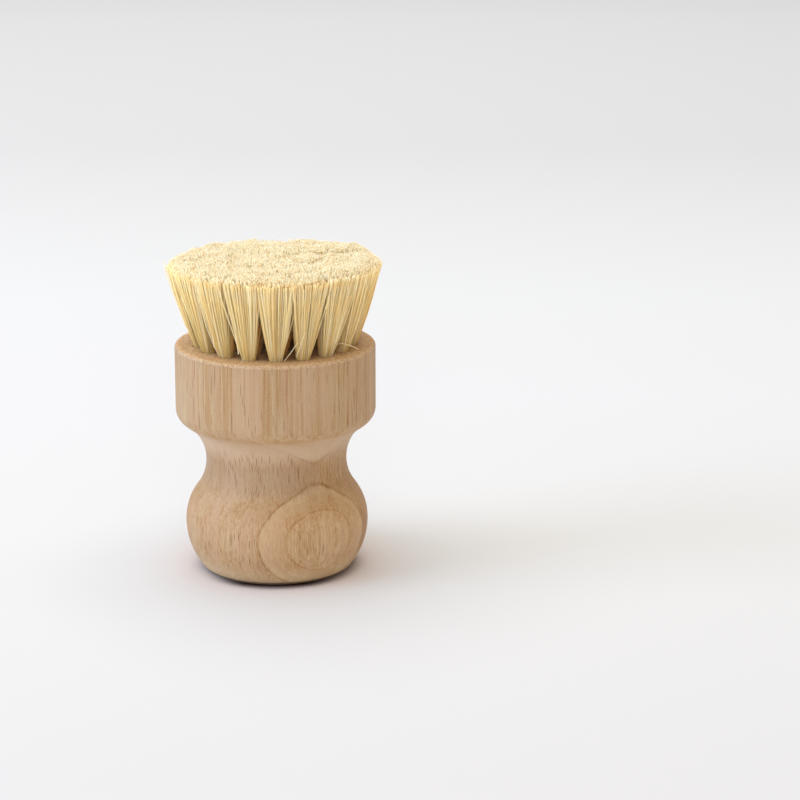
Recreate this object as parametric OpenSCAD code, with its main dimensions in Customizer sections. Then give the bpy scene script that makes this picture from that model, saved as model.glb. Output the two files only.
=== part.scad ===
// Palm brush: a turned wooden handle that fits the palm, with tufts of fibre set in its head.
// The handle is one turning: a knob at the foot, a waist for the fingers and a round head.
// Each tuft is folded round a flat wire anchor and driven into its own blind bore in the head.
// The origin is the middle of the flat foot. The tufts point up, along +Z, and -Y is the front.

/* [Head] */
// Diameter of the head
head_d = 55; // [53:0.5:62]
// Height of the head, from the crease above the waist to the flat face
head_h = 23.5; // [21:0.5:30]
// Slope of the underside of the head, up from the level
head_under_slope = 35.7; // [28:0.1:40]
// Radius of the rounding between the underside and the side of the head
head_corner_r = 4.4; // [3:0.1:6]
// Radius of the rounding at the rim of the flat face
head_rim_r = 1.0; // [0.5:0.1:1.8]

/* [Waist] */
// Diameter of the waist at its narrowest place
waist_d = 38.7; // [34:0.1:42]
// Radius of the hollow curve of the waist
waist_r = 13.2; // [11:0.1:16]
// Turn of the hollow curve, from the narrowest place up to the crease
waist_turn = 44.3; // [38:0.1:48]

/* [Knob] */
// Diameter of the knob at its widest place
knob_d = 50.4; // [46:0.1:54]
// Height of the widest place of the knob above the foot
knob_wide_h = 13.3; // [11:0.1:16]
// Radius of the knob's curve above its widest place
knob_upper_r = 15.4; // [13:0.1:18]
// Radius of the knob's curve below its widest place
knob_lower_r = 20.2; // [18:0.1:23]
// Radius of the rounding at the edge of the foot
foot_edge_r = 1.5; // [0.8:0.1:2.2]

/* [Bores] */
// Diameter of each bore
bore_d = 4.2; // [3.6:0.1:4.6]
// Depth of each bore along its own axis, down to the full diameter
bore_depth = 12; // [8:0.5:14]
// Angle across the point of the drill that cut the bores
drill_point = 118; // [100:1:140]
// Outward lean of the bores in the outer row
outer_lean = 10.3; // [6:0.1:12]
// Radius of the outer row of bores, on the face
outer_row_r = 20.75; // [20:0.05:22]
// Bores in the outer row
outer_count = 18; // [14:2:18]
// Radius of the middle row of bores, on the face
middle_row_r = 13.8; // [13:0.05:14.4]
// Bores in the middle row
middle_count = 12; // [8:2:12]
// Radius of the inner row of bores, on the face
inner_row_r = 6.9; // [6.4:0.05:7.4]
// Bores in the inner row
inner_count = 6; // [4:1:6]

/* [Anchors] */
// Thickness of the flat wire
wire_t = 0.4; // [0.3:0.05:0.6]
// Height of the wire, which stands on edge
wire_h = 1.6; // [1.2:0.1:2]
// Length of wire that bites into the wood at each side of a bore
wire_bite = 0.6; // [0.3:0.05:0.8]
// Height of the wire above the full-diameter bottom of the bore
wire_rise = 1.2; // [0.8:0.1:2]
// Play around the wire in the wood and in the fold of the tuft
wire_clear = 0.02; // [0.01:0.01:0.05]

/* [Tufts] */
// Gap all round between the root of a tuft and its bore
root_clear = 0.05; // [0.02:0.01:0.1]
// Height of the tight root above the face
collar_h = 0.7; // [0.5:0.1:1.2]
// Length of the fibres above the face, at the edge of the trimmed end
fibre_h = 22.7; // [18:0.1:28]
// Rise of the trimmed end from its edge to its middle
crown_h = 1.0; // [0:0.1:2]
// Height above the face at which a tuft has opened out
bend_h = 9; // [7:0.5:12]
// Radius out to the strands' centres where the tuft has opened out
bend_r = 2.75; // [2.5:0.05:2.8]
// Width of a strand at its root
strand_root_w = 0.5; // [0.4:0.02:0.54]
// Width of a strand from where the tuft has opened out up to its tip
strand_w = 0.95; // [0.7:0.05:1]
// Most by which the tips of the strands are uneven
tip_uneven = 0.35; // [0:0.05:0.6]

/* [Hidden] */
$fn = 96;

// Turn about Z of the first tuft in each row, from +X
outer_phase = -87;
middle_phase = -82;
inner_phase = -70;

// Strands in a tuft: a ring of them round a smaller ring, and the smaller ring's share of the radius
ring_strands = 8;
core_strands = 4;
core_share = 0.43;
strand_sides = 4;
// Depth to which the strands run into the root
strand_root_depth = 0.8;
// Clear distance kept between a strand and the edge of its root or of its tuft's own space
strand_clear = 0.08;
// Overlap of the shapes that make up the handle's outline
outline_lap = 0.5;
// Overshoot of a cutting shape past the face that it opens
cut = 1;
// Space between one row's random seeds and the next row's
row_seeds = 100;

// Centres and meeting points of the arcs of the handle's outline, as [radius, height]
waist_axis_r = waist_d / 2 + waist_r;
knob_upper_axis_r = knob_d / 2 - knob_upper_r;
knob_lower_axis_r = knob_d / 2 - knob_lower_r;
waist_h = knob_wide_h
    + sqrt(pow(waist_r + knob_upper_r, 2) - pow(waist_axis_r - knob_upper_axis_r, 2));
knob_top_h = knob_wide_h + (waist_h - knob_wide_h) * knob_upper_r / (waist_r + knob_upper_r);
foot_axis_r = knob_lower_axis_r
    + sqrt(pow(knob_lower_r - foot_edge_r, 2) - pow(knob_wide_h - foot_edge_r, 2));
foot_top_h = knob_wide_h
    - (knob_wide_h - foot_edge_r) * knob_lower_r / (knob_lower_r - foot_edge_r);
crease_r = waist_axis_r - waist_r * cos(waist_turn);
crease_h = waist_h + waist_r * sin(waist_turn);
head_r = head_d / 2;
corner_axis_r = head_r - head_corner_r;
corner_axis_h = crease_h
    + (head_corner_r + (corner_axis_r - crease_r) * sin(head_under_slope)) / cos(head_under_slope);
corner_low = [
    corner_axis_r + head_corner_r * sin(head_under_slope),
    corner_axis_h - head_corner_r * cos(head_under_slope)
];
face_h = crease_h + head_h;

// The rows of tufts, from the rim to the middle
row_names = ["outer", "middle", "inner", "centre"];
row_r = [outer_row_r, middle_row_r, inner_row_r, 0];
row_count = [outer_count, middle_count, inner_count, 1];
row_phase = [outer_phase, middle_phase, inner_phase, 0];
rows = [0:len(row_r) - 1];

// All the bores' axes meet at one point, this far below the face
fan_depth = outer_row_r / tan(outer_lean);
function fan(h) = 1 + h / fan_depth;
function lean(row) = atan(row_r[row] / fan_depth);

// Radius of the space that each tuft has to itself on the face
face_space_r = min(
    [for (row = [0:len(row_r) - 2]) min(row_r[row] - row_r[row + 1], row_pitch(row))]
) / 2;
function row_pitch(row) = 2 * row_r[row] * sin(180 / row_count[row]);

bore_r = bore_d / 2;
root_r = bore_r - root_clear;
root_ring_r = root_r - half_diagonal(strand_root_w) - strand_clear;
tip_ring_r = face_space_r * fan(fibre_h) - half_diagonal(strand_w) - strand_clear;
tip_edge_r = outer_row_r * fan(fibre_h) + tip_ring_r;

function half_diagonal(w) = w / sqrt(2);

function tuft_name(row, k) = row_count[row] == 1
    ? str("tuft_", row_names[row])
    : str("tuft_", row_names[row], "_", k < 9 ? "0" : "", k + 1);

// Half of the handle's outline, to the right of its axis
module handle_outline() {
    // The foot, with its rounded edge
    square([foot_axis_r, foot_edge_r]);
    translate([foot_axis_r, foot_edge_r]) circle(r = foot_edge_r);
    // The knob: the curve below its widest place, and the curve that takes over above it
    intersection() {
        translate([knob_lower_axis_r, knob_wide_h]) circle(r = knob_lower_r);
        translate([0, foot_top_h]) square([knob_d, knob_wide_h - foot_top_h]);
    }
    intersection() {
        translate([knob_upper_axis_r, knob_wide_h]) circle(r = knob_upper_r);
        square([knob_d, face_h]);
    }
    // The waist, which laps into the knob and into the head
    difference() {
        translate([0, knob_top_h]) square([waist_axis_r, crease_h + outline_lap - knob_top_h]);
        translate([waist_axis_r, waist_h]) circle(r = waist_r);
    }
    translate([0, foot_edge_r]) square([waist_d / 2 - outline_lap, crease_h - foot_edge_r]);
    // The head, from its sloping underside to its face
    polygon([
        [0, crease_h],
        [crease_r, crease_h],
        corner_low,
        [corner_axis_r, corner_axis_h],
        [0, corner_axis_h]
    ]);
    translate([corner_axis_r, corner_axis_h]) circle(r = head_corner_r);
    translate([0, corner_axis_h]) square([head_r, face_h - head_rim_r - corner_axis_h]);
    translate([0, corner_axis_h]) square([head_r - head_rim_r, face_h - corner_axis_h]);
    translate([head_r - head_rim_r, face_h - head_rim_r]) circle(r = head_rim_r);
}

// Puts its children at a bore's mouth, with Z out along the bore and X away from the brush's axis
module at_bore(row, k) {
    rotate([0, 0, row_phase[row] + 360 * k / row_count[row]])
        translate([row_r[row], 0, face_h])
            rotate([0, lean(row), 0])
                children();
}

// A flat wire across a bore, near its bottom, with play all round it
module wire(play) {
    width = wire_t + 2 * play;
    length = bore_d + 2 * wire_bite + 2 * play;
    translate([-width / 2, -length / 2, wire_rise - bore_depth - play])
        cube([width, length, wire_h + 2 * play]);
}

// The blind hole for one tuft, with the marks that the wire's ends cut in its wall
module bore() {
    translate([0, 0, -bore_depth]) cylinder(h = bore_depth + cut, r = bore_r);
    point_h = bore_r / tan(drill_point / 2);
    translate([0, 0, -bore_depth - point_h]) cylinder(h = point_h, r1 = 0, r2 = bore_r);
    wire(wire_clear);
}

module handle() {
    color("burlywood")
    difference() {
        rotate_extrude() handle_outline();
        for (row = rows) {
            for (k = [0:row_count[row] - 1]) {
                at_bore(row, k) bore();
            }
        }
    }
}

module anchor_wires() {
    color("silver")
    for (row = rows) {
        for (k = [0:row_count[row] - 1]) {
            at_bore(row, k) wire(0);
        }
    }
}

// Where strand s of a tuft stands in its tuft: [share of the tuft's radius, angle]
function strand_place(s) = s < ring_strands
    ? [1, 360 * s / ring_strands]
    : [core_share, 360 * (s - ring_strands + 0.5) / core_strands];

// Radius of a tuft's ring of strands at three stations: in its root, opened out, and at the tips
ring_r = [root_ring_r, bend_r, tip_ring_r];
widths = [strand_root_w, strand_w, strand_w];

// Centre of strand s at a station, h above the face, in a tuft on the +X side
function strand_centre(row, s, station, h) =
    let (place = strand_place(s), r = place[0] * ring_r[station])
    [row_r[row] * fan(h) + r * cos(place[1]), r * sin(place[1]), face_h + h];

// Height of a tip above the face: higher in the middle of the brush, and a little uneven
function tip_h(row, s, uneven) =
    let (c = strand_centre(row, s, 2, fibre_h), share = norm([c[0], c[1]]) / tip_edge_r)
    fibre_h + crown_h * (1 - share * share) - uneven;

// The corners of a strand at one station
function strand_ring(row, s, station, h) =
    let (c = strand_centre(row, s, station, h), turn = strand_place(s)[1] + 180 / strand_sides)
    [for (side = [0:strand_sides - 1])
        let (a = turn + 360 * side / strand_sides)
        c + half_diagonal(widths[station]) * [cos(a), sin(a), 0]];

// Two triangles for each side between one station and the next, and the two ends
tip = 2 * strand_sides;
strand_faces = concat(
    [for (station = [0, 1]) for (side = [0:strand_sides - 1]) for (half = [0, 1])
        let (a = station * strand_sides + side)
        let (b = station * strand_sides + (side + 1) % strand_sides)
        half == 0 ? [a, a + strand_sides, b + strand_sides] : [a, b + strand_sides, b]],
    [for (side = [1:strand_sides - 2]) [0, side, side + 1]],
    [for (side = [1:strand_sides - 2]) [tip, tip + side + 1, tip + side]]
);

module strand(row, s, uneven) {
    polyhedron(
        points = concat(
            strand_ring(row, s, 0, -strand_root_depth),
            strand_ring(row, s, 1, bend_h),
            strand_ring(row, s, 2, tip_h(row, s, uneven))
        ),
        faces = strand_faces
    );
}

// One tuft: a tight root that fills its bore, folded round the wire, and the strands above it.
// Tufts on opposite sides of the brush are alike.
module tuft(row, k) {
    count = ring_strands + core_strands;
    seed = row_seeds * row + k % max(1, row_count[row] / 2);
    uneven = rands(0, tip_uneven, count, seed);
    color("cornsilk") {
        at_bore(row, k)
            difference() {
                translate([0, 0, root_clear - bore_depth])
                    cylinder(h = bore_depth - root_clear + collar_h, r = root_r);
                wire(wire_clear);
            }
        rotate([0, 0, row_phase[row] + 360 * k / row_count[row]])
            for (s = [0:count - 1]) {
                strand(row, s, uneven[s]);
            }
    }
}

// Number of strands, and the gaps that no two strands of a tuft and no two tufts come nearer than.
// Rings and widths grow evenly from one station to the next, so the least gap is at a station.
stations_h = [-strand_root_depth, bend_h, fibre_h];
strand_gaps = [for (station = [0, 1, 2])
    let (r = ring_r[station], d = 2 * half_diagonal(widths[station]))
    min(2 * r * sin(180 / ring_strands), 2 * core_share * r * sin(180 / core_strands),
        (1 - core_share) * r) - d];
tuft_gaps = [for (station = [1, 2])
    2 * (face_space_r * fan(stations_h[station]) - ring_r[station]
        - half_diagonal(widths[station]))];
tufts = outer_count + middle_count + inner_count + 1;
echo(strands = tufts * (ring_strands + core_strands));
echo(least_gap_in_a_tuft = min(strand_gaps), least_gap_between_tufts = min(tuft_gaps));

handle();
anchor_wires();
for (row = rows) {
    for (k = [0:row_count[row] - 1]) {
        tuft(row, k);
    }
}
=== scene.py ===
import math
import random
from types import SimpleNamespace

import bmesh
import bpy
from mathutils import Matrix, Vector, noise


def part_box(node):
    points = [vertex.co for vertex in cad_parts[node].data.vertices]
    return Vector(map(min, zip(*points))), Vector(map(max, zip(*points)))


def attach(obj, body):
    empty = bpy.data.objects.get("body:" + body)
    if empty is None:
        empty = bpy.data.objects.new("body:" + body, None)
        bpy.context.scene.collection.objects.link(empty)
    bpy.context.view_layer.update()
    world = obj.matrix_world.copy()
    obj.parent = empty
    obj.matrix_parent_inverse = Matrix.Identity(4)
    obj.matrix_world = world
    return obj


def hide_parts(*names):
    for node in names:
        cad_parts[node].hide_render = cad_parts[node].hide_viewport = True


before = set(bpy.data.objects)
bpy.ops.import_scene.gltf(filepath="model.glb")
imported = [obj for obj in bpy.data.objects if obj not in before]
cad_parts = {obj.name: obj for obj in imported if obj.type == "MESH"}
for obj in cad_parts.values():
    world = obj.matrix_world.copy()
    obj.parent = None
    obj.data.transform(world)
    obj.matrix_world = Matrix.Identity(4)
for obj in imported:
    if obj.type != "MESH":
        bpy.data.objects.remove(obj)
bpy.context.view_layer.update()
MM = 0.001

# Handle: one piece of pale hardwood, turned to a knob, a waist and a round head and sanded smooth.
# Blind bores, splayed outward, are drilled into its face. It stands on the flat foot of the knob.
foot_edge_r = 1.5
knob_d = 50.4
knob_wide_h = 13.3
knob_upper_r = 15.4
knob_lower_r = 20.2
waist_d = 38.7
waist_r = 13.2
waist_turn = 44.3
head_d = 55.0
head_under_slope = 35.7
head_corner_r = 4.4
head_rim_r = 1.0
face_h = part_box("handle")[1][2] / MM
head_r = head_d / 2


def arc(centre, radius, start, end, steps):
    """Points along an arc in the outline's plane, as (radius, height), with angles in degrees."""
    turns = [math.radians(start + (end - start) * step / steps) for step in range(steps + 1)]
    return [(centre[0] + radius * math.cos(a), centre[1] + radius * math.sin(a)) for a in turns]


def handle_outline():
    """The turned outline from the middle of the foot to the middle of the face, in millimetres."""
    waist_axis_r = waist_d / 2 + waist_r
    upper_axis_r = knob_d / 2 - knob_upper_r
    lower_axis_r = knob_d / 2 - knob_lower_r
    across = waist_axis_r - upper_axis_r
    waist_h = knob_wide_h + math.sqrt((waist_r + knob_upper_r) ** 2 - across ** 2)
    shoulder = math.degrees(math.atan2(waist_h - knob_wide_h, across))
    foot_axis_r = lower_axis_r + math.sqrt(
        (knob_lower_r - foot_edge_r) ** 2 - (knob_wide_h - foot_edge_r) ** 2)
    foot_turn = math.degrees(math.atan2(foot_edge_r - knob_wide_h, foot_axis_r - lower_axis_r))
    turn, slope = math.radians(waist_turn), math.radians(head_under_slope)
    crease_r = waist_axis_r - waist_r * math.cos(turn)
    crease_h = waist_h + waist_r * math.sin(turn)
    corner_r = head_r - head_corner_r
    corner_h = crease_h + (head_corner_r + (corner_r - crease_r) * math.sin(slope)) / math.cos(slope)
    rim_axis = (head_r - head_rim_r, face_h - head_rim_r)
    return [
        (0, 0), (foot_axis_r / 2, 0),
        *arc((foot_axis_r, foot_edge_r), foot_edge_r, -90, foot_turn, 6),
        *arc((lower_axis_r, knob_wide_h), knob_lower_r, foot_turn, 0, 24)[1:],
        *arc((upper_axis_r, knob_wide_h), knob_upper_r, 0, shoulder, 20)[1:],
        *arc((waist_axis_r, waist_h), waist_r, 180 + shoulder, 180 - waist_turn, 32)[1:],
        *arc((corner_r, corner_h), head_corner_r, head_under_slope - 90, 0, 10),
        *arc(rim_axis, head_rim_r, 0, 90, 8),
        (0, face_h),
    ]


def new_object(name, mesh_maker):
    """A new object at the origin, whose mesh is the bmesh that mesh_maker fills."""
    mesh = bpy.data.meshes.new(name)
    bm = bmesh.new()
    mesh_maker(bm)
    bm.to_mesh(mesh)
    bm.free()
    obj = bpy.data.objects.new(name, mesh)
    bpy.context.scene.collection.objects.link(obj)
    return obj


def turn_handle(bm):
    points = [bm.verts.new((r * MM, 0, h * MM)) for r, h in handle_outline()]
    edges = [bm.edges.new(pair) for pair in zip(points, points[1:])]
    bmesh.ops.spin(bm, geom=points + edges, cent=(0, 0, 0), axis=(0, 0, 1), dvec=(0, 0, 0),
                   angle=math.tau, steps=224, use_merge=True, use_duplicate=False)
    bmesh.ops.remove_doubles(bm, verts=bm.verts, dist=1e-6)
    bmesh.ops.recalc_face_normals(bm, faces=bm.faces)


# Each row of tufts: its name, how many, its radius on the face and the turn of its first tuft
bore_rows = [("outer", 18, 20.75, -87), ("middle", 12, 13.8, -82), ("inner", 6, 6.9, -70),
             ("centre", 1, 0, 0)]
bore_r = 2.1
bore_depth = 12.0
bore_point_h = 1.26
fan_depth = 20.75 / math.tan(math.radians(10.3))


def fan(h):
    """How far the rows have spread at a height above the face, against their radius on it."""
    return 1 + h / fan_depth


def tuft_places():
    """The name, radius on the face and turn about Z of every tuft."""
    for row, count, radius, first in bore_rows:
        for k in range(count):
            name = f"tuft_{row}" if count == 1 else f"tuft_{row}_{k + 1:02d}"
            yield name, radius, math.radians(first + 360 * k / count)


def drill_bores(bm):
    above = 1.0
    for name, radius, turn in tuft_places():
        lean = math.atan2(radius, fan_depth)
        place = (Matrix.Rotation(turn, 4, "Z") @ Matrix.Translation((radius * MM, 0, face_h * MM))
                 @ Matrix.Rotation(lean, 4, "Y")
                 @ Matrix.Translation((0, 0, (above - bore_depth) / 2 * MM)))
        made = bmesh.ops.create_cone(bm, cap_ends=True, segments=40, radius1=bore_r * MM,
                                     radius2=bore_r * MM, depth=(bore_depth + above) * MM,
                                     matrix=place)["verts"]
        axis = place.to_3x3() @ Vector((0, 0, 1))
        caps = {face for vert in made for face in vert.link_faces if len(face.verts) > 4}
        bottom = min(caps, key=lambda face: face.calc_center_median().dot(axis))
        point = bmesh.ops.poke(bm, faces=[bottom])["verts"]
        bmesh.ops.translate(bm, verts=point, vec=axis * -bore_point_h * MM)


def cut(piece, cutter):
    """Takes the cutter's space out of the piece, in its mesh, and removes the cutter."""
    modifier = piece.modifiers.new("bores", "BOOLEAN")
    modifier.object = cutter
    modifier.solver = "EXACT"
    graph = bpy.context.evaluated_depsgraph_get()
    mesh = bpy.data.meshes.new_from_object(piece.evaluated_get(graph))
    piece.modifiers.clear()
    piece.data = mesh
    bpy.data.objects.remove(cutter)


def srgb(red, green, blue):
    """A colour given in 0 to 255, as the numbers that Blender's sockets take."""
    linear = [c / 255 / 12.92 if c < 11 else ((c / 255 + 0.055) / 1.055) ** 2.4
              for c in (red, green, blue)]
    return (*linear, 1.0)


def put(tree, kind, inputs=None, **settings):
    """Adds a node to a tree. Its inputs are given as values or as the sockets that feed them."""
    made = tree.nodes.new(kind)
    for name, value in settings.items():
        setattr(made, name, value)
    for socket, value in (inputs or {}).items():
        if isinstance(value, bpy.types.NodeSocket):
            tree.links.new(value, made.inputs[socket])
        else:
            made.inputs[socket].default_value = value
    return made


def maths(tree, operation, a, b=0.0):
    return put(tree, "ShaderNodeMath", {0: a, 1: b}, operation=operation).outputs[0]


def times(tree, *factors):
    """The product of the factors, each a socket or a number."""
    result = factors[0]
    for factor in factors[1:]:
        result = maths(tree, "MULTIPLY", result, factor)
    return result


def scaled(tree, socket, gain, base):
    """The socket's value times gain, with base added."""
    return put(tree, "ShaderNodeMath", {0: socket, 1: gain, 2: base},
               operation="MULTIPLY_ADD").outputs[0]


def total(tree, terms):
    """The sum of the terms, each given as (factor, socket, and what is taken off it first)."""
    result = 0.0
    for factor, socket, less in terms:
        shifted = maths(tree, "SUBTRACT", socket, less) if less else socket
        result = maths(tree, "ADD", result, times(tree, shifted, factor))
    return result


def mix(tree, factor, a, b):
    return put(tree, "ShaderNodeMix", {0: factor, 6: a, 7: b}, data_type="RGBA").outputs[2]


def tint(tree, colour, towards, *strengths):
    """A colour mixed towards another, (red, green, blue), by the product of the strengths."""
    return mix(tree, times(tree, *strengths), colour, srgb(*towards))


def ramp(tree, factor, stops):
    """A colour ramp of (position, colour) stops."""
    made = put(tree, "ShaderNodeValToRGB", {0: factor})
    elements = made.color_ramp.elements
    elements.remove(elements[1])
    elements[0].position, elements[0].color = stops[0]
    for position, colour in stops[1:]:
        elements.new(position).color = colour
    return made.outputs[0]


def from_axis(tree, x, y):
    """How far a point at x and y is from the Z axis."""
    flat = put(tree, "ShaderNodeCombineXYZ", {0: x, 1: y}).outputs[0]
    return put(tree, "ShaderNodeVectorMath", {0: flat}, operation="LENGTH").outputs["Value"]


def step_between(tree, value, low, high):
    """0 on low's side and 1 on high's side, with a smooth rise from one to the other."""
    return put(tree, "ShaderNodeMapRange", {0: value, 1: low, 2: high},
               interpolation_type="SMOOTHSTEP").outputs[0]


def grain_noise_group():
    """Noise that repeats at so many to the millimetre across the grain and along it."""
    group = bpy.data.node_groups.new("grain_noise", "ShaderNodeTree")
    group.interface.new_socket("Point", in_out="INPUT", socket_type="NodeSocketVector")
    for name in ("Across", "Along", "Detail", "Shift"):
        group.interface.new_socket(name, in_out="INPUT", socket_type="NodeSocketFloat")
    group.interface.new_socket("Value", in_out="OUTPUT", socket_type="NodeSocketFloat")
    given = group.nodes.new("NodeGroupInput").outputs
    often = put(group, "ShaderNodeCombineXYZ", {0: given["Across"], 1: given["Across"],
                                                2: given["Along"]}).outputs[0]
    place = put(group, "ShaderNodeVectorMath", {0: given["Point"], 1: often, 2: given["Shift"]},
                operation="MULTIPLY_ADD").outputs[0]
    value = put(group, "ShaderNodeTexNoise", {"Vector": place, "Scale": 1.0,
                                              "Detail": given["Detail"]}).outputs[0]
    put(group, "NodeGroupOutput", {"Value": value})
    return group


grain_noise = grain_noise_group()


def stretched_noise(tree, point, across, along, detail=2.0, shift=0.0):
    return put(tree, "ShaderNodeGroup", {"Point": point, "Across": across, "Along": along,
                                         "Detail": detail, "Shift": shift},
               node_tree=grain_noise).outputs[0]


def pores(tree, skin, around, along, size):
    """1 inside the open vessels, which show as thin dashes along the grain, and 0 outside them."""
    place = put(tree, "ShaderNodeMapping", {0: skin, 3: (around, along, 1.0)}).outputs[0]
    near = put(tree, "ShaderNodeTexVoronoi", {"Vector": place, "Scale": 1.0},
               voronoi_dimensions="2D").outputs["Distance"]
    return step_between(tree, near, size, size * 0.6)


# The growth rings are sheets that lie almost flat against the front right of the handle, so they
# show as straight lines on the head, a V across the waist and an oval eye on the knob. Each tone
# is given at a depth in millimetres from the axis towards that side.
ring_facing = 31.5
ring_reach = 30
plain_tone = 0.52
ring_tones = [(-30, 0.52), (-21.4, 0.46), (-21, 0.3), (-20.7, 0.62), (-11.4, 0.47), (-11, 0.32),
              (-10.7, 0.6), (-1.3, 0.5), (-1, 0.36), (-0.7, 0.58), (9.5, 0.5), (9.9, 0.46),
              (10.2, 0.54), (14.5, 0.5), (14.95, 0.45), (15.25, 0.55), (18.0, 0.48), (19.45, 0.44),
              (19.62, 0.19), (19.74, 0.21), (19.9, 0.72), (21.0, 0.64), (21.8, 0.55), (22.5, 0.48),
              (22.58, 0.4), (22.7, 0.5), (23.05, 0.44), (23.16, 0.3), (23.26, 0.32), (23.45, 0.6),
              (24.2, 0.64), (30, 0.58)]
head_lines = [25.2, 26.3]
head_line_w = 0.16
knob_skin_r = 25.0


def ring_tone(tree, depth):
    stops = [((at + ring_reach) / (2 * ring_reach), (tone, tone, tone, 1)) for at, tone in ring_tones]
    return ramp(tree, scaled(tree, depth, 1 / (2 * ring_reach), 0.5), stops)


def ring_depth(tree, across, inward, height):
    """Depth of a point in the ring sheets, which are bowed, and lean a little below the head."""
    a = scaled(tree, across, 0.1, 0.0)
    h = scaled(tree, maths(tree, "MINIMUM", height, 44.0), 0.1, -3.0)
    a_a = times(tree, a, a)
    return total(tree, [(-1.0, inward, 0), (0.204, a, 0), (0.148, a_a, 0),
                        (-0.115, times(tree, a_a, a), 0), (-0.128, h, 0),
                        (-0.047, times(tree, h, h), 0), (0.037, times(tree, a, h), 0)])


def wood_places(tree):
    """Sockets that tell where a point of the wood is, in millimetres, and masks of its regions."""
    at = SimpleNamespace()
    coordinates = put(tree, "ShaderNodeTexCoord").outputs
    # Turned so that Y runs through the ring sheets towards the back
    at.point = put(tree, "ShaderNodeMapping", {0: coordinates["Object"],
                                               2: (0, 0, math.radians(-ring_facing)),
                                               3: (1 / MM, 1 / MM, 1 / MM)}).outputs[0]
    at.across, at.inward, at.height = put(tree, "ShaderNodeSeparateXYZ", {0: at.point}).outputs
    at.depth = total(tree, [(1.0, ring_depth(tree, at.across, at.inward, at.height), 0),
                            (0.8, stretched_noise(tree, at.point, 0.13, 0.09), 0.5),
                            (0.1, stretched_noise(tree, at.point, 0.9, 0.4, 1.0), 0.5)])
    at.on_head = step_between(tree, at.height, 40.0, 46.0)
    at.below_head = scaled(tree, at.on_head, -1.0, 1.0)
    at.eye = times(tree, step_between(tree, at.depth, 23.2, 23.7), at.below_head)
    at.around_eye = times(tree, step_between(tree, at.depth, 19.8, 20.4), at.below_head)
    facing = put(tree, "ShaderNodeSeparateXYZ", {0: coordinates["Normal"]}).outputs[2]
    facing = maths(tree, "ABSOLUTE", facing)
    at.upright = step_between(tree, facing, 0.62, 0.3)
    at.end_grain = step_between(tree, facing, 0.75, 0.97)
    return at


def wood_tone(tree, at, fine, thread, dust):
    """How light the wood is, from its growth rings, its lines along the grain and slow drifts, with
    painted light near the foot.
    """
    rings = times(tree, scaled(tree, ring_tone(tree, at.depth), 1.0, -plain_tone),
                  scaled(tree, at.below_head, 0.7, 0.3))
    line = stretched_noise(tree, at.point, 1.7, 0.018, 2.0, 21.0)
    thin_line = step_between(tree, maths(tree, "ABSOLUTE", scaled(tree, line, 1.0, -0.5)), 0.035, 0.0)
    lines_show = total(tree, [(-0.12, at.on_head, 0), (-0.28, at.eye, 0), (-0.06, at.below_head, 0)])
    threads_show = times(tree, scaled(tree, at.upright, 0.54, 0.36),
                         scaled(tree, at.below_head, 0.7, 0.3))
    broad = stretched_noise(tree, at.point, 0.3, 0.012, 2.0, 7.0)
    drift = stretched_noise(tree, at.point, 0.05, 0.04, 2.0, 3.0)
    leaf = stretched_noise(tree, put(tree, "ShaderNodeCombineXYZ", {0: at.depth}).outputs[0], 3.2, 1.0)
    stripe = stretched_noise(tree, at.point, 2.0, 0.02, 1.0, 31.0)
    # Painted light: the wood is lighter towards the foot, where light from the floor reaches it
    painted_light_near_foot = step_between(tree, at.height, 7.0, 2.0)
    tone = total(tree, [
        (1.0, plain_tone, 0), (1.0, rings, 0), (0.9, fine, 0.5), (0.55, broad, 0.5),
        (0.35, drift, 0.5), (0.45, dust, 0.5),
        (1.0, times(tree, thin_line, lines_show), 0),
        (0.5, times(tree, scaled(tree, leaf, 1.0, -0.5), at.around_eye), 0),
        (0.8, times(tree, scaled(tree, stripe, 1.0, -0.5), at.eye), 0),
        (1.0, times(tree, scaled(tree, thread, 1.0, -0.5), threads_show), 0),
        (0.26, painted_light_near_foot, 0), (-0.07, at.below_head, 0), (0.07, at.around_eye, 0)])
    # Ring lines that only reach the surface on the head, where it stands out furthest
    for line_depth in head_lines:
        off = maths(tree, "ABSOLUTE", scaled(tree, at.depth, 1.0, -line_depth))
        near = times(tree, step_between(tree, off, head_line_w, 0.0), at.on_head)
        tone = total(tree, [(1.0, tone, 0), (-0.2, near, 0)])
    return tone


def wood_colour(tree, at, tone):
    """The colour that goes with a tone, shifted in some bands and in some parts of the handle."""
    colour = ramp(tree, tone, [(0.0, srgb(110, 72, 40)), (0.26, srgb(150, 110, 66)),
                               (0.52, srgb(162, 133, 97)), (0.76, srgb(173, 147, 112)),
                               (1.0, srgb(186, 165, 132))])
    # Some bands run pinker, and all below the head is a little redder, most of all round the eye
    band = stretched_noise(tree, at.point, 0.22, 0.01, 1.0, 13.0)
    colour = tint(tree, colour, (173, 139, 112), step_between(tree, band, 0.47, 0.62), 0.3)
    ruddy = maths(tree, "ADD", at.below_head, at.around_eye)
    colour = tint(tree, colour, (186, 140, 90), ruddy, 0.12)
    # Painted shade greys the left of the waist, and the wood close under the head is paler
    waist_shade = times(tree, step_between(tree, at.height, 23.0, 28.0),
                 step_between(tree, at.height, 36.0, 32.0), step_between(tree, at.across, 5.0, -3.0))
    colour = tint(tree, colour, (150, 124, 96), waist_shade, 0.45)
    crease = times(tree, step_between(tree, at.height, 32.0, 37.0),
                   step_between(tree, at.height, 42.0, 40.0))
    return tint(tree, colour, (182, 156, 130), crease, 0.65)


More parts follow.
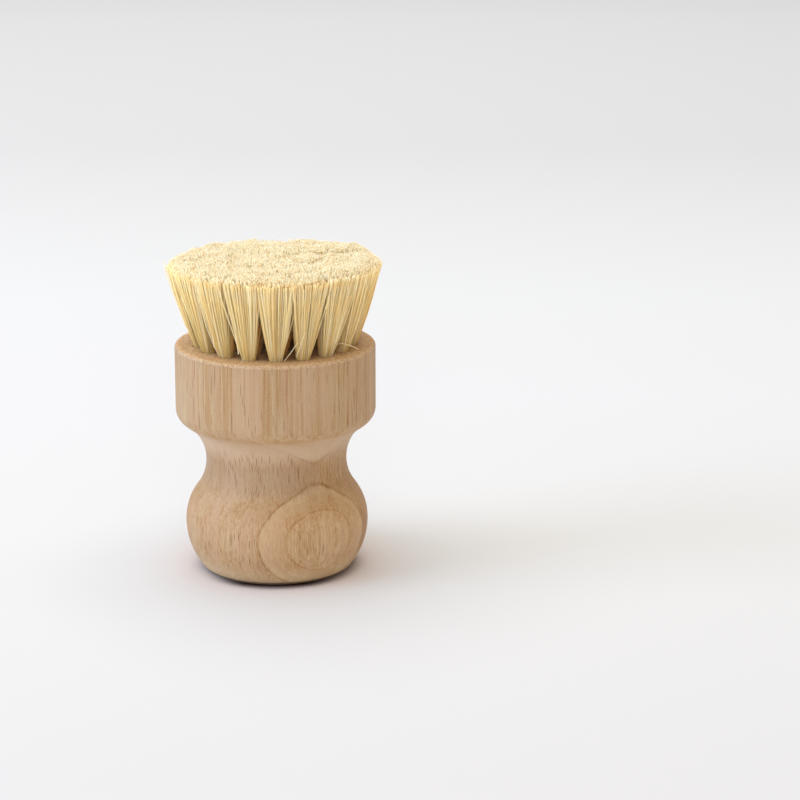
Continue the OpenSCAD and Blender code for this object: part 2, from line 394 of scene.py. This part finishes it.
def cut_vessels(tree, at):
    """Masks of the vessels that the turning has cut open: dashes, lines on the head, and specks."""
    around = times(tree, maths(tree, "ARCTAN2", at.across, at.inward), knob_skin_r)
    skin = put(tree, "ShaderNodeCombineXYZ", {0: around, 1: at.height}).outputs[0]
    patchy = step_between(tree, stretched_noise(tree, at.point, 0.16, 0.1, 1.0, 9.0), 0.38, 0.58)
    waist_or_foot = maths(tree, "MAXIMUM", step_between(tree, at.height, 19.0, 23.0),
                          step_between(tree, at.height, 17.5, 14.5))
    # The wood between the two ring lines round the eye has few
    outside_or_eye = maths(tree, "MAXIMUM", step_between(tree, at.depth, 19.7, 19.1),
                           times(tree, at.eye, 0.6))
    crowd = times(tree, scaled(tree, patchy, 0.5, 0.5), scaled(tree, waist_or_foot, 0.8, 0.2),
                  at.upright, at.below_head, outside_or_eye)
    dashes = times(tree, pores(tree, skin, 1.25, 0.095, 0.16), crowd)
    head_lines_cut = maths(tree, "MAXIMUM", pores(tree, skin, 0.5, 0.018, 0.07),
                           times(tree, pores(tree, skin, 1.1, 0.05, 0.1), patchy))
    head_lines_cut = times(tree, head_lines_cut, at.on_head, at.upright)
    specks = times(tree, pores(tree, skin, 2.9, 0.16, 0.16), at.upright,
                   scaled(tree, at.below_head, 0.75, 0.25))
    return dashes, head_lines_cut, specks


def wood_material():
    material = bpy.data.materials.new("turned_hardwood")
    material.use_nodes = True
    tree = material.node_tree
    shader = tree.nodes["Principled BSDF"]
    at = wood_places(tree)
    fine = stretched_noise(tree, at.point, 1.6, 0.03, 4.0)
    thread = stretched_noise(tree, at.point, 4.5, 0.2, 2.0, 5.0)
    dust = stretched_noise(tree, at.point, 5.0, 2.0)
    fuzz = stretched_noise(tree, at.point, 2.4, 2.4, 4.0)
    colour = wood_colour(tree, at, wood_tone(tree, at, fine, thread, dust))
    dashes, head_lines_cut, specks = cut_vessels(tree, at)
    colour = tint(tree, colour, (108, 70, 28), dashes, 0.9)
    colour = tint(tree, colour, (112, 78, 38), head_lines_cut, 0.75)
    colour = tint(tree, colour, (114, 78, 42), specks, 0.42)
    # The rim of the face is paler, partly from its sanded, raw fibres and partly as a painted
    # highlight where its rounding catches the light, and the edge of the foot is darkened with painted
    # shade where it meets the floor
    radius = from_axis(tree, at.across, at.inward)
    rim = times(tree, step_between(tree, radius, head_r - 1.7, head_r - 0.8),
                step_between(tree, at.height, face_h - 1.2, face_h - 0.4))
    colour = tint(tree, colour, (206, 176, 142), rim, step_between(tree, fuzz, 0.42, 0.6), 0.7)
    # Painted shade: the bottom of the foot is darkened close to the floor
    colour = tint(tree, colour, (44, 22, 10), step_between(tree, at.height, 1.3, 0.4), 0.9)
    # The face is end grain, rougher and speckled
    speckle = stretched_noise(tree, at.point, 1.7, 1.7, 5.0, 17.0)
    colour = tint(tree, colour, (204, 162, 112), at.end_grain, 0.6)
    colour = tint(tree, colour, (164, 116, 66), at.end_grain, step_between(tree, speckle, 0.5, 0.7))
    colour = tint(tree, colour, (224, 193, 152), at.end_grain, step_between(tree, speckle, 0.44, 0.3))
    cut_open = maths(tree, "MAXIMUM", dashes, head_lines_cut)
    rough = times(tree, maths(tree, "MAXIMUM", at.end_grain, rim), fuzz)
    relief = total(tree, [(0.5, fine, 0), (0.3, thread, 0), (0.4, dust, 0), (-0.2, cut_open, 0),
                          (-0.1, specks, 0), (4.0, rough, 0)])
    bump = put(tree, "ShaderNodeBump", {"Strength": 0.8, "Distance": 0.00009, "Height": relief})
    tree.links.new(bump.outputs[0], shader.inputs["Normal"])
    tree.links.new(colour, shader.inputs["Base Color"])
    tree.links.new(scaled(tree, fine, 0.25, 0.52), shader.inputs["Roughness"])
    shader.inputs["Specular IOR Level"].default_value = 0.45
    return material


handle = new_object("turned_handle", turn_handle)
cut(handle, new_object("bore_cutter", drill_bores))
for polygon in handle.data.polygons:
    polygon.use_smooth = True
handle.data.set_sharp_from_angle(angle=math.radians(30))
handle.data.materials.clear()
handle.data.materials.append(wood_material())
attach(handle, "root")
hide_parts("handle")


# Anchor wires: a short length of flat steel wire on edge across each bore, near its bottom. The
# tuft is folded round it, and its ends bite into the wood. They are sealed inside the head.
def wire_material():
    material = bpy.data.materials.new("drawn_steel_wire")
    material.use_nodes = True
    tree = material.node_tree
    shader = tree.nodes["Principled BSDF"]
    point = put(tree, "ShaderNodeTexCoord").outputs["Object"]
    drawn = put(tree, "ShaderNodeTexNoise", {"Vector": point, "Scale": 4000.0,
                                             "Detail": 3.0}).outputs[0]
    colour = ramp(tree, drawn, [(0.3, srgb(146, 144, 140)), (0.7, srgb(196, 195, 191))])
    tree.links.new(colour, shader.inputs["Base Color"])
    tree.links.new(scaled(tree, drawn, 0.3, 0.25), shader.inputs["Roughness"])
    shader.inputs["Metallic"].default_value = 1.0
    return material


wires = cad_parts["anchor_wires"]
wires.data.materials.clear()
wires.data.materials.append(wire_material())

# Tufts: bundles of fine, stiff, pale plant fibre. Each is packed tight in its bore, opens out above
# the face until it meets its neighbours, and is trimmed level with them at the end.
fibres_in_all = 19800
fibre_r = 0.15
fibre_h = 22.7
crown_h = 1.0
trimmed_r = 29.0
root_stations = [-9.0, 0.0]
free_stations = [0.1, 0.23, 0.4, 0.62, 0.82, 1.0]
stations = len(root_stations) + len(free_stations)
# How uneven the fibres are. Spreads are standard deviations, and lengths are in millimetres.
tip_spread = 0.25
tip_lean = 0.2
loose_share = 0.12
loose_lean = 1.4
overhang = 0.6
fibre_h_spread = 0.2
tuft_h_spread = 0.35
longest_past_crown = 1.3
bow_spread = 0.17
wild_share = 0.07
wild_bow = 3.5
# The shape of the trimmed end: raised, worn down at its edge, higher at the right, and hummocky
trim_rise = 0.5
worn_from = 0.86
worn_h = 1.2
trim_tilt = 0.006
hummock_h = 0.5
hummocks_per_mm = 0.25
tuft_crown_h = 0.75
# How far a fibre has moved out from its root to its tip, at a share t of its height, is
# opened_in_all * (1 - (1 - t) ** opening_power)
opened_in_all = 0.97
opening_power = 1.15
root_play = 0.25
cut_end_flare = 1.15


def fibre_template():
    """A three-sided fibre of unit radius, whose height counts its stations."""
    bm = bmesh.new()
    bmesh.ops.create_circle(bm, cap_ends=True, segments=3, radius=1.0)
    end = bm.faces[:][0]
    for _ in range(1, stations):
        made = bmesh.ops.extrude_face_region(bm, geom=[end])["geom"]
        end = next(item for item in made if isinstance(item, bmesh.types.BMFace))
        bmesh.ops.translate(bm, verts=end.verts, vec=(0, 0, 1))
    bmesh.ops.recalc_face_normals(bm, faces=bm.faces)
    mesh = bpy.data.meshes.new("fibre_template")
    bm.to_mesh(mesh)
    bm.free()
    return mesh


def tip_places(chance):
    """Places of all the fibre tips on the trimmed end, spread evenly, as (x, y) in millimetres."""
    golden = math.pi * (3 - math.sqrt(5))
    for k in range(fibres_in_all):
        radius = trimmed_r * math.sqrt((k + 0.5) / fibres_in_all)
        x, y = radius * math.cos(k * golden), radius * math.sin(k * golden)
        yield x + chance.gauss(0, tip_spread), y + chance.gauss(0, tip_spread)


def share_tips(chance):
    """The tips that belong to each tuft: those that are nearest to where its axis comes out."""
    tufts = list(tuft_places())
    spread = fan(fibre_h)
    axes = [(radius * spread * math.cos(turn), radius * spread * math.sin(turn))
            for _, radius, turn in tufts]
    shares = [[] for _ in tufts]
    for x, y in tip_places(chance):
        nearest = min(range(len(tufts)), key=lambda k: (x - axes[k][0]) ** 2 + (y - axes[k][1]) ** 2)
        shares[nearest].append((x - axes[nearest][0], y - axes[nearest][1]))
    return zip(tufts, shares)


def fibre_path(axis_xy, root, tip, lift, chance):
    """The middle of one fibre at each station. root and tip are offsets from the tuft's axis."""
    full = fan(fibre_h)
    leaning = loose_lean if chance.random() < loose_share else tip_lean
    tip_x, tip_y = (axis_xy[i] * full + tip[i] + chance.gauss(0, leaning) for i in (0, 1))
    reached = math.hypot(tip_x, tip_y)
    kept = min(1.0, (trimmed_r + overhang) / reached)
    tip = (tip_x * kept - axis_xy[0] * full, tip_y * kept - axis_xy[1] * full)
    share = min(1.0, reached / trimmed_r)
    hummock = noise.noise(Vector((tip_x, tip_y, 0)) * hummocks_per_mm) * hummock_h
    worn = max(0.0, (share - worn_from) / (1 - worn_from)) ** 2
    tip_h = fibre_h + trim_rise + crown_h * (1 - share ** 2) - worn_h * worn + trim_tilt * tip_x
    tip_h += lift + hummock + chance.gauss(0, fibre_h_spread)
    tip_h = min(tip_h, fibre_h + crown_h + longest_past_crown)
    wild = wild_bow if chance.random() < wild_share else 1.0
    bow = (chance.gauss(0, bow_spread) * wild, chance.gauss(0, bow_spread) * wild)
    path = [(axis_xy[0] * fan(h) + root[0], axis_xy[1] * fan(h) + root[1], h) for h in root_stations]
    for t in free_stations:
        h = tip_h * t
        opened = opened_in_all * (1 - (1 - t) ** opening_power)
        bent = math.sin(math.pi * t)
        path.append(tuple(
            axis_xy[i] * fan(h) + root[i] + (tip[i] - root[i]) * opened + bow[i] * bent
            for i in (0, 1)) + (h,))
    return path


def make_tuft(bm, template, radius, turn, tips, chance):
    """Fills bm with one tuft's fibres, and stores each one's tone and how far along it a point is."""
    axis_xy = (radius * math.cos(turn), radius * math.sin(turn))
    tips = sorted(tips, key=lambda tip: math.hypot(*tip))
    reach = math.hypot(*tips[-1])
    tuft_lift = chance.gauss(0, tuft_h_spread)
    paths, tones = [], []
    for rank, tip in enumerate(tips):
        far = max(1e-6, math.hypot(*tip))
        root_r = (bore_r - root_play) * math.sqrt((rank + 0.5) / len(tips))
        root = (tip[0] / far * root_r, tip[1] / far * root_r)
        lift = tuft_lift - tuft_crown_h * (far / reach) ** 2
        paths.append(fibre_path(axis_xy, root, tip, lift, chance))
        tones.append(chance.random())
        bm.from_mesh(template)
    tone = bm.verts.layers.float.new("tone")
    along = bm.verts.layers.float.new("along")
    bm.verts.ensure_lookup_table()
    each = len(template.vertices)
    sizes = [fibre_r * chance.uniform(0.8, 1.2) for path in paths]
    turns = [chance.uniform(0, math.tau) for path in paths]
    for number, vert in enumerate(bm.verts):
        fibre = number // each
        x, y, h = paths[fibre][round(vert.co.z)]
        at_end = round(vert.co.z) == stations - 1
        size = sizes[fibre] * (cut_end_flare if at_end else 1.0)
        a = turns[fibre]
        vert[tone] = tones[fibre]
        vert[along] = max(0.0, h / fibre_h)
        vert.co = Vector((x + size * (vert.co.x * math.cos(a) - vert.co.y * math.sin(a)),
                          y + size * (vert.co.x * math.sin(a) + vert.co.y * math.cos(a)),
                          face_h + h)) * MM


def fibre_material():
    material = bpy.data.materials.new("pale_plant_fibre")
    material.use_nodes = True
    tree = material.node_tree
    shader = tree.nodes["Principled BSDF"]
    along = put(tree, "ShaderNodeAttribute", attribute_name="along").outputs["Fac"]
    tone = put(tree, "ShaderNodeAttribute", attribute_name="tone").outputs["Fac"]
    point = put(tree, "ShaderNodeMapping", {0: put(tree, "ShaderNodeTexCoord").outputs["Object"],
                                            3: (1 / MM, 1 / MM, 1 / MM)}).outputs[0]
    # Duller low down, cream at the trimmed end
    colour = ramp(tree, along, [(0.0, srgb(232, 210, 138)), (0.2, srgb(238, 218, 156)),
                                (0.4, srgb(243, 226, 170)), (0.7, srgb(252, 236, 182)),
                                (0.92, srgb(253, 243, 207)), (1.0, srgb(252, 248, 233))])
    # Golden deep inside the brush: painted light, for the warm light that bounces among the fibres
    # there
    x, y, h = put(tree, "ShaderNodeSeparateXYZ", {0: point}).outputs
    spread = scaled(tree, h, 1 / fan_depth, 1 - face_h / fan_depth)
    row_r = maths(tree, "DIVIDE", from_axis(tree, x, y), spread)
    inside = times(tree, step_between(tree, row_r, 21.4, 19.2), step_between(tree, along, 0.98, 0.88))
    colour = tint(tree, colour, (255, 216, 124), inside, 0.75)
    # Some fibres are straw yellow and some almost white, which shows less near the trimmed end
    shows = scaled(tree, along, -0.45, 0.7)
    colour = tint(tree, colour, (246, 210, 138), step_between(tree, tone, 0.7, 0.9), shows)
    colour = tint(tree, colour, (255, 250, 232), step_between(tree, tone, 0.3, 0.1), shows)
    patches = stretched_noise(tree, point, 0.9, 0.25, 3.0)
    colour = tint(tree, colour, (242, 212, 150), step_between(tree, patches, 0.52, 0.75), 0.35)
    tree.links.new(colour, shader.inputs["Base Color"])
    tree.links.new(scaled(tree, patches, 0.25, 0.42), shader.inputs["Roughness"])
    shader.inputs["Specular IOR Level"].default_value = 0.3
    ridges = stretched_noise(tree, point, 9.0, 0.6, 2.0)
    bump = put(tree, "ShaderNodeBump", {"Strength": 0.35, "Distance": 0.00004, "Height": ridges})
    tree.links.new(bump.outputs[0], shader.inputs["Normal"])
    # The fibre is thin enough for light to come through it, most of all deep inside and at its end
    glow = put(tree, "ShaderNodeBsdfTranslucent", {"Color": colour})
    more = maths(tree, "MAXIMUM", inside, step_between(tree, along, 0.84, 0.96))
    both = put(tree, "ShaderNodeMixShader", {0: scaled(tree, more, 0.3, 0.42), 1: shader.outputs[0],
                                             2: glow.outputs[0]})
    tree.links.new(both.outputs[0], tree.nodes["Material Output"].inputs["Surface"])
    return material


fibre = fibre_material()
template = fibre_template()
chance = random.Random(11)
for (node_name, radius, turn), tips in share_tips(chance):
    tuft = new_object("fibres_" + node_name[5:], lambda bm: make_tuft(
        bm, template, radius, turn, tips, chance))
    tuft.data.materials.append(fibre)
    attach(tuft, "root")
    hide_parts(node_name)
bpy.data.meshes.remove(template)


# Stray fibres: a few that worked loose from the tufts. They lie on the face, lean across the gaps
# between tufts, or stand out past the rest of the brush. Heights are above the face.
strays = [
    [(15.6, -12.4, 2.0), (17.0, -13.4, 2.6), (18.4, -12.6, 2.7), (20.6, -12.0, 2.0),
     (22.0, -10.9, 1.1), (23.0, -9.9, 0.3)],
    [(3.4, -21.9, 0.15), (5.4, -22.4, 2.9), (7.2, -22.8, 5.7)],
    [(-22.8, 1.4, 1.4), (-21.9, 0.5, 1.6), (-21.1, 0.5, 1.2)],
    [(-24.0, -4.0, 5.0), (-27.6, -4.0, 15.4), (-29.0, -4.0, 19.3), (-29.8, -4.0, 23.4)],
    [(-9.8, -22.6, 11.0), (-9.4, -22.6, 7.0), (-8.8, -21.9, 2.0)],
    [(9.0, -24.2, 8.5), (7.9, -23.4, 5.1), (6.6, -22.2, 1.3)],
    [(17.0, -17.6, 4.0), (18.1, -17.9, 8.6), (19.6, -18.6, 13.0)],
    [(-15.5, -18.4, 3.0), (-15.9, -19.0, 7.6), (-17.2, -19.8, 12.8)],
]
stray_r = 0.13
stray_tone = 0.1
stray_along = 0.9


def make_strays(bm):
    tone = bm.verts.layers.float.new("tone")
    along = bm.verts.layers.float.new("along")
    for path in strays:
        points = [Vector(point) for point in path]
        made = bmesh.ops.create_circle(bm, cap_ends=True, segments=6, radius=stray_r)["verts"]
        end = made[0].link_faces[0]
        facing = Vector((0, 0, 1))
        at = Vector((0, 0, 0))
        for number, point in enumerate(points):
            if number:
                made = bmesh.ops.extrude_face_region(bm, geom=[end])["geom"]
                end = next(item for item in made if isinstance(item, bmesh.types.BMFace))
            before, after = points[max(0, number - 1)], points[min(number + 1, len(points) - 1)]
            heading = (after - before).normalized()
            turn = facing.rotation_difference(heading).to_matrix()
            bmesh.ops.rotate(bm, verts=end.verts, cent=at, matrix=turn)
            bmesh.ops.translate(bm, verts=end.verts, vec=point - at)
            facing, at = heading, point
    for vert in bm.verts:
        vert[tone] = stray_tone
        vert[along] = stray_along
    bmesh.ops.translate(bm, verts=bm.verts, vec=(0, 0, face_h))
    bmesh.ops.scale(bm, verts=bm.verts, vec=(MM, MM, MM))
    bmesh.ops.recalc_face_normals(bm, faces=bm.faces)


stray_fibres = new_object("stray_fibres", make_strays)
stray_fibres.data.materials.append(fibre)
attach(stray_fibres, "root")


# Ground, light and camera: a pale seamless floor in a white room, with a large lamp above, a cool
# one at the left and a small one in front. The camera looks down by 15 degrees, through a long lens.
def floor_material():
    material = bpy.data.materials.new("pale_floor")
    material.use_nodes = True
    tree = material.node_tree
    shader = tree.nodes["Principled BSDF"]
    to_right, away, _ = put(tree, "ShaderNodeSeparateXYZ",
                            {0: put(tree, "ShaderNodeTexCoord").outputs["Object"]}).outputs
    seen = ramp(tree, put(tree, "ShaderNodeMapRange", {0: away, 1: -0.3, 2: 1.3}).outputs[0],
                [(0.09, srgb(188, 186, 185)), (0.2, srgb(192, 191, 189)), (0.3, srgb(194, 193, 193)),
                 (0.39, srgb(194, 194, 193)), (0.6, srgb(189, 188, 188)), (0.9, srgb(197, 197, 197))])
    # The wood sends some warm light back under the knob
    near = put(tree, "ShaderNodeAmbientOcclusion", {"Distance": 0.03}, samples=8).outputs["AO"]
    seen = tint(tree, seen, (202, 180, 172), step_between(tree, near, 0.95, 0.55), 0.4)
    # Hardly any light gets in right under the foot's edge, and more does at its sides than in front
    shut = put(tree, "ShaderNodeAmbientOcclusion", {"Distance": 0.006}, samples=8).outputs["AO"]
    seen = tint(tree, seen, (36, 12, 4), step_between(tree, shut, 0.7, 0.3),
                step_between(tree, to_right, -0.021, -0.008),
                step_between(tree, to_right, 0.027, 0.008))
    # The floor sends back more light than it shows the camera, as a white ground in bright light
    to_camera = put(tree, "ShaderNodeLightPath").outputs["Is Camera Ray"]
    colour = mix(tree, to_camera, srgb(222, 222, 222), seen)
    tree.links.new(colour, shader.inputs["Base Color"])
    shader.inputs["Specular IOR Level"].default_value = 0.0
    return material


floor = new_object("floor", lambda bm: bmesh.ops.create_grid(
    bm, x_segments=1, y_segments=1, size=5.0))
floor.data.materials.append(floor_material())


lamps_aim_at = Vector((0, 0, 0.05))


def soft_light(name, size, power, place, colour=(1, 1, 1)):
    """A square lamp at a place, turned towards the middle of the brush."""
    lamp = bpy.data.lights.new(name, "AREA")
    lamp.size = size
    lamp.energy = power
    lamp.color = colour
    obj = bpy.data.objects.new(name, lamp)
    obj.location = place
    obj.rotation_euler = (lamps_aim_at - Vector(place)).to_track_quat("-Z", "Y").to_euler()
    bpy.context.scene.collection.objects.link(obj)


soft_light("top_light", 2.2, 46.0, (-0.2, 0.2, 1.8))
soft_light("left_light", 0.9, 16.0, (-1.45, -0.4, 0.65), (0.82, 0.97, 1.26))
soft_light("front_light", 0.6, 6.0, (0.07, -1.5, 0.5))

# The room's light is a little blue from the left and warm from the right
world = bpy.data.worlds.new("white_room")
bpy.context.scene.world = world
world.use_nodes = True
room = world.node_tree
toward = put(room, "ShaderNodeSeparateXYZ", {0: put(room, "ShaderNodeTexCoord").outputs["Generated"]})
walls = ramp(room, put(room, "ShaderNodeMapRange", {0: toward.outputs[0], 1: -1.0}).outputs[0],
             [(0.1, srgb(228, 240, 255)), (0.5, srgb(255, 255, 255)), (0.7, srgb(255, 248, 236)),
              (0.9, srgb(255, 224, 180))])
room.links.new(walls, room.nodes["Background"].inputs["Color"])
room.nodes["Background"].inputs["Strength"].default_value = 0.6

camera_data = bpy.data.cameras.new("camera")
camera_data.lens = 128.75
camera_data.sensor_width = 36
camera = bpy.data.objects.new("camera", camera_data)
camera.location = (0.034187, -0.760456, 0.252013)
camera.rotation_euler = (math.radians(74.9), 0, 0)
bpy.context.scene.collection.objects.link(camera)
bpy.context.scene.camera = camera
bpy.context.scene.view_settings.view_transform = "Standard"
